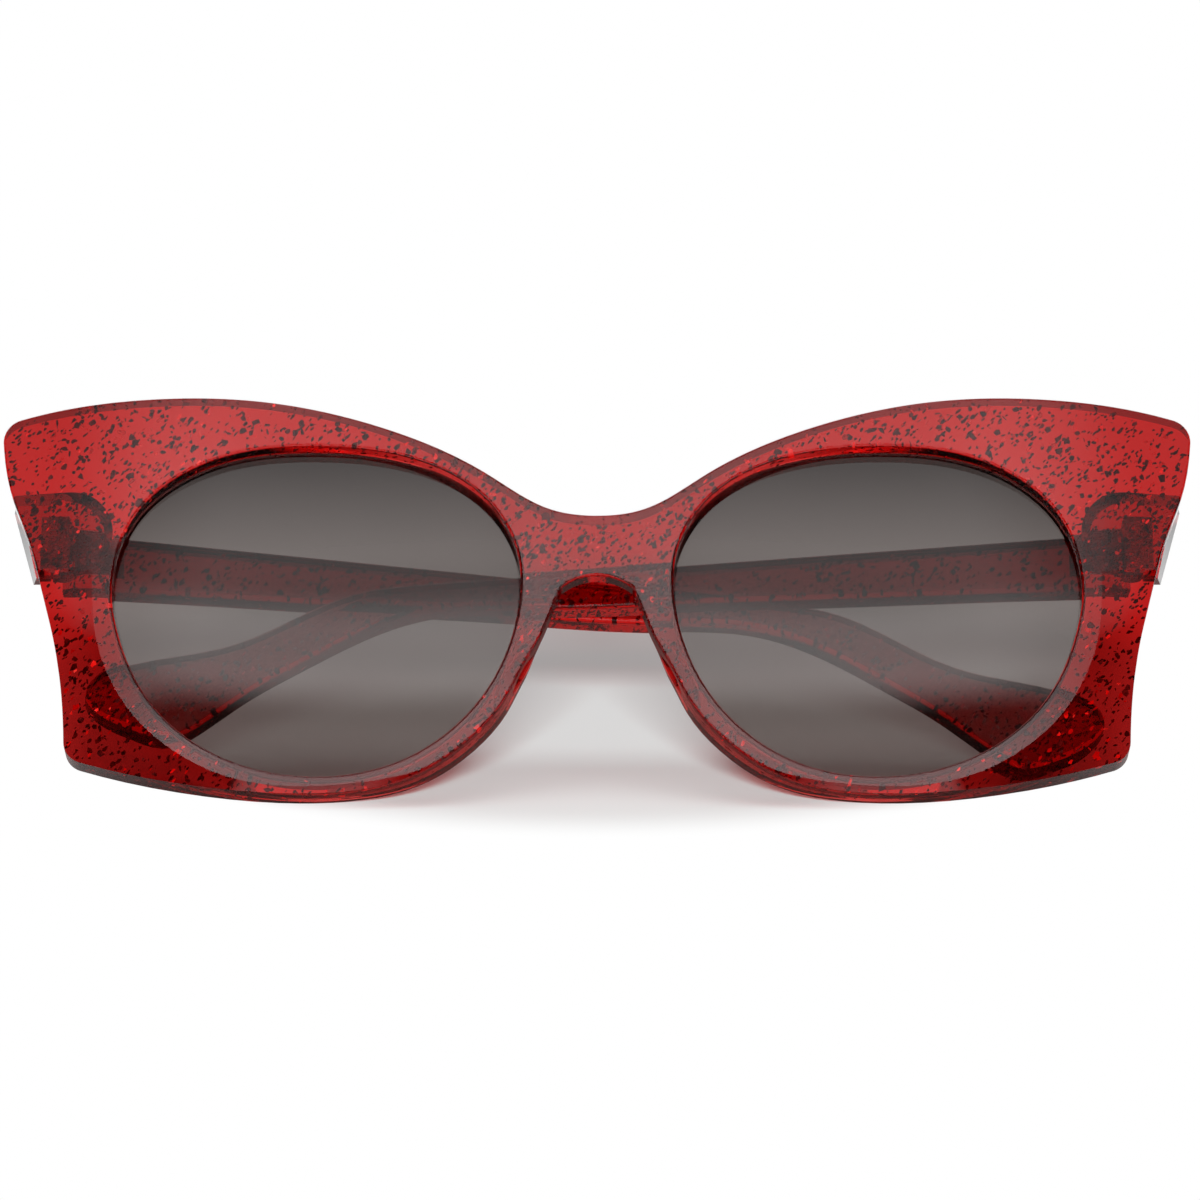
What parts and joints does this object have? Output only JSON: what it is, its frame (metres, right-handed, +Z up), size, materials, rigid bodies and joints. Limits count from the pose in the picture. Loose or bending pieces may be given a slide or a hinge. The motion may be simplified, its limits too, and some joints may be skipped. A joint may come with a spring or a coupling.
{
  "type": "butterfly sunglasses",
  "caption": "Butterfly-shaped plastic sunglasses with upswept glittery red wings, oval smoke lenses and hinged temples, shown folded and leaning back.",
  "frame": {"origin": "middle of the bounding box at the table, with the temples folded", "axes": "+X to the right hand of a viewer in front, +Y away from that viewer, +Z up"},
  "size_m": [0.1504, 0.0319, 0.0476],
  "materials": {
    "front_frame": "clear red plastic with glitter flakes, polished",
    "right_temple": "clear red plastic with glitter flakes, polished",
    "left_temple": "clear red plastic with glitter flakes, polished",
    "right_lens": "smoke-grey graduated plastic lens, polished",
    "left_lens": "smoke-grey graduated plastic lens, polished",
    "right_front_hinge_leaf": "plain steel",
    "left_front_hinge_leaf": "plain steel",
    "right_temple_hinge_leaf": "plain steel",
    "left_temple_hinge_leaf": "plain steel",
    "right_hinge_screw": "plain steel",
    "left_hinge_screw": "plain steel"
  },
  "bodies": {
    "front": {"front_frame": "front_frame", "right_lens": "right_lens", "left_lens": "left_lens", "right_front_hinge_leaf": "right_front_hinge_leaf", "left_front_hinge_leaf": "left_front_hinge_leaf", "right_hinge_screw": "right_hinge_screw", "left_hinge_screw": "left_hinge_screw"},
    "right_arm": {"right_temple": "right_temple", "right_temple_hinge_leaf": "right_temple_hinge_leaf"},
    "left_arm": {"left_temple": "left_temple", "left_temple_hinge_leaf": "left_temple_hinge_leaf"}
  },
  "joints": [
    {"name": "right_temple_fold", "type": "hinge", "parent": "front", "child": "right_arm", "pos_m": [0.06745, 0.01029, 0.02722], "axis": [0, -0.5, -0.866], "range_deg": [0, 93.7]},
    {"name": "left_temple_fold", "type": "hinge", "parent": "front", "child": "left_arm", "pos_m": [-0.06745, 0.01029, 0.02722], "axis": [0, 0.5, 0.866], "range_deg": [0, 89.3]}
  ]
}
